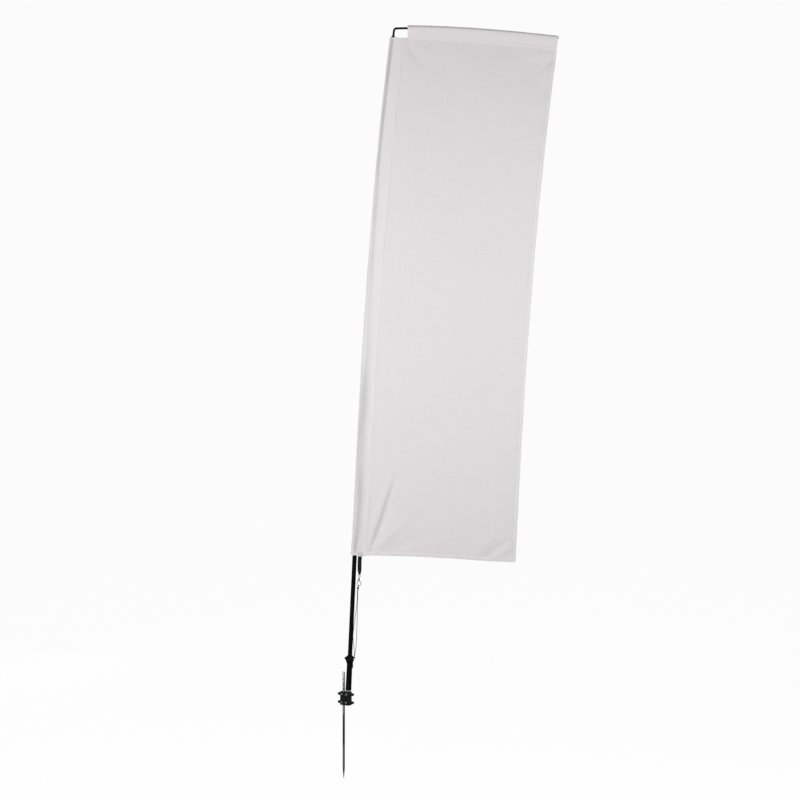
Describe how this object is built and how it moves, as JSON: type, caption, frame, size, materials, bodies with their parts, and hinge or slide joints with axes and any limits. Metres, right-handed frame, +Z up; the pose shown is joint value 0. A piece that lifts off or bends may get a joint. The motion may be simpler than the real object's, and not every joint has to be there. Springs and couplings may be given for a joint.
{
  "type": "banner flag with pole and ground spike",
  "caption": "Rectangular banner on a bent pole with a top arm; the pole lifts out of a socket that turns on a spindle clamped beside a ground spike, held down by a snap-hook cord.",
  "frame": {"origin": "on the spike's axis at ground level, just under the clamp", "axes": "+Z up along the spike, +X towards the banner's free edge, +Y to the banner's back"},
  "size_m": [0.9547, 0.0535, 3.2358],
  "materials": {
    "polished_steel": "polished",
    "zinc_plate": "zinc plated",
    "cast_black": "satin black on a cast surface",
    "black_steel": "black oxide",
    "spring_steel": "oiled",
    "nylon": "natural white",
    "black_plastic": "moulded satin",
    "pole_black": "satin glass-fibre composite",
    "rubber": "matt",
    "white_polyester": "knitted polyester",
    "black_webbing": "woven webbing",
    "nickel": "nickel plated",
    "cord_black": "braided cover on a rubber core"
  },
  "bodies": {
    "spike": {"spike_rod": "polished_steel"},
    "clamp": {"clamp_front_shell": "cast_black", "clamp_back_shell": "cast_black", "ear_bolt_1": "black_steel", "ear_bolt_2": "black_steel", "ear_bolt_3": "black_steel", "ear_bolt_4": "black_steel", "ear_nut_1": "black_steel", "ear_nut_2": "black_steel", "ear_nut_3": "black_steel", "ear_nut_4": "black_steel", "clamp_screw_1": "zinc_plate", "clamp_screw_2": "zinc_plate", "clamp_screw_3": "zinc_plate", "clamp_screw_4": "zinc_plate", "spindle": "polished_steel", "thrust_washer": "nylon", "spindle_clip": "spring_steel"},
    "socket": {"socket_tube": "black_plastic", "lower_bush": "nylon", "upper_bush": "nylon", "tether_collar": "black_plastic", "collar_screw": "zinc_plate"},
    "pole": {"pole_foot": "rubber", "pole_lower": "pole_black", "pole_spigot": "pole_black", "joint_ferrule": "pole_black", "pole_upper": "pole_black", "tip_ferrule": "pole_black", "corner_tube": "pole_black", "arm_rod": "pole_black", "arm_cap": "rubber", "flag_panel": "white_polyester", "pole_sleeve": "white_polyester", "arm_pocket": "white_polyester", "tether_strap": "black_webbing", "swivel_eye": "nickel", "tether_cord": "cord_black"},
    "snap_hook": {"hook_body": "nickel", "gate_pin": "nickel", "cord_eye": "cord_black", "cord_whipping": "cord_black"},
    "gate": {"hook_gate": "nickel"}
  },
  "joints": [
    {"name": "clamp_slide", "type": "slide", "parent": "spike", "child": "clamp", "axis": [0, 0, 1], "range_m": [-0.05, 0.07]},
    {"name": "swivel_spin", "type": "hinge", "parent": "clamp", "child": "socket", "pos_m": [0.01728, -0.01198, 0], "axis": [0.0462, 0, 0.9989], "continuous": true},
    {"name": "pole_lift", "type": "slide", "parent": "socket", "child": "pole", "axis": [0.0462, 0, 0.9989], "range_m": [0, 0.07], "deforming": ["tether_cord"]},
    {"name": "hook_swivel", "type": "hinge", "parent": "pole", "child": "snap_hook", "pos_m": [0.0677, -0.01198, 0.56], "axis": [0.1123, 0, 0.9937], "continuous": true},
    {"name": "gate_hinge", "type": "hinge", "parent": "snap_hook", "child": "gate", "pos_m": [0.06037, -0.01198, 0.53698], "axis": [0, -1, 0], "range_deg": [0, 25], "stiffness_Nm_per_rad": 0.02, "springref_deg": -5.73}
  ]
}
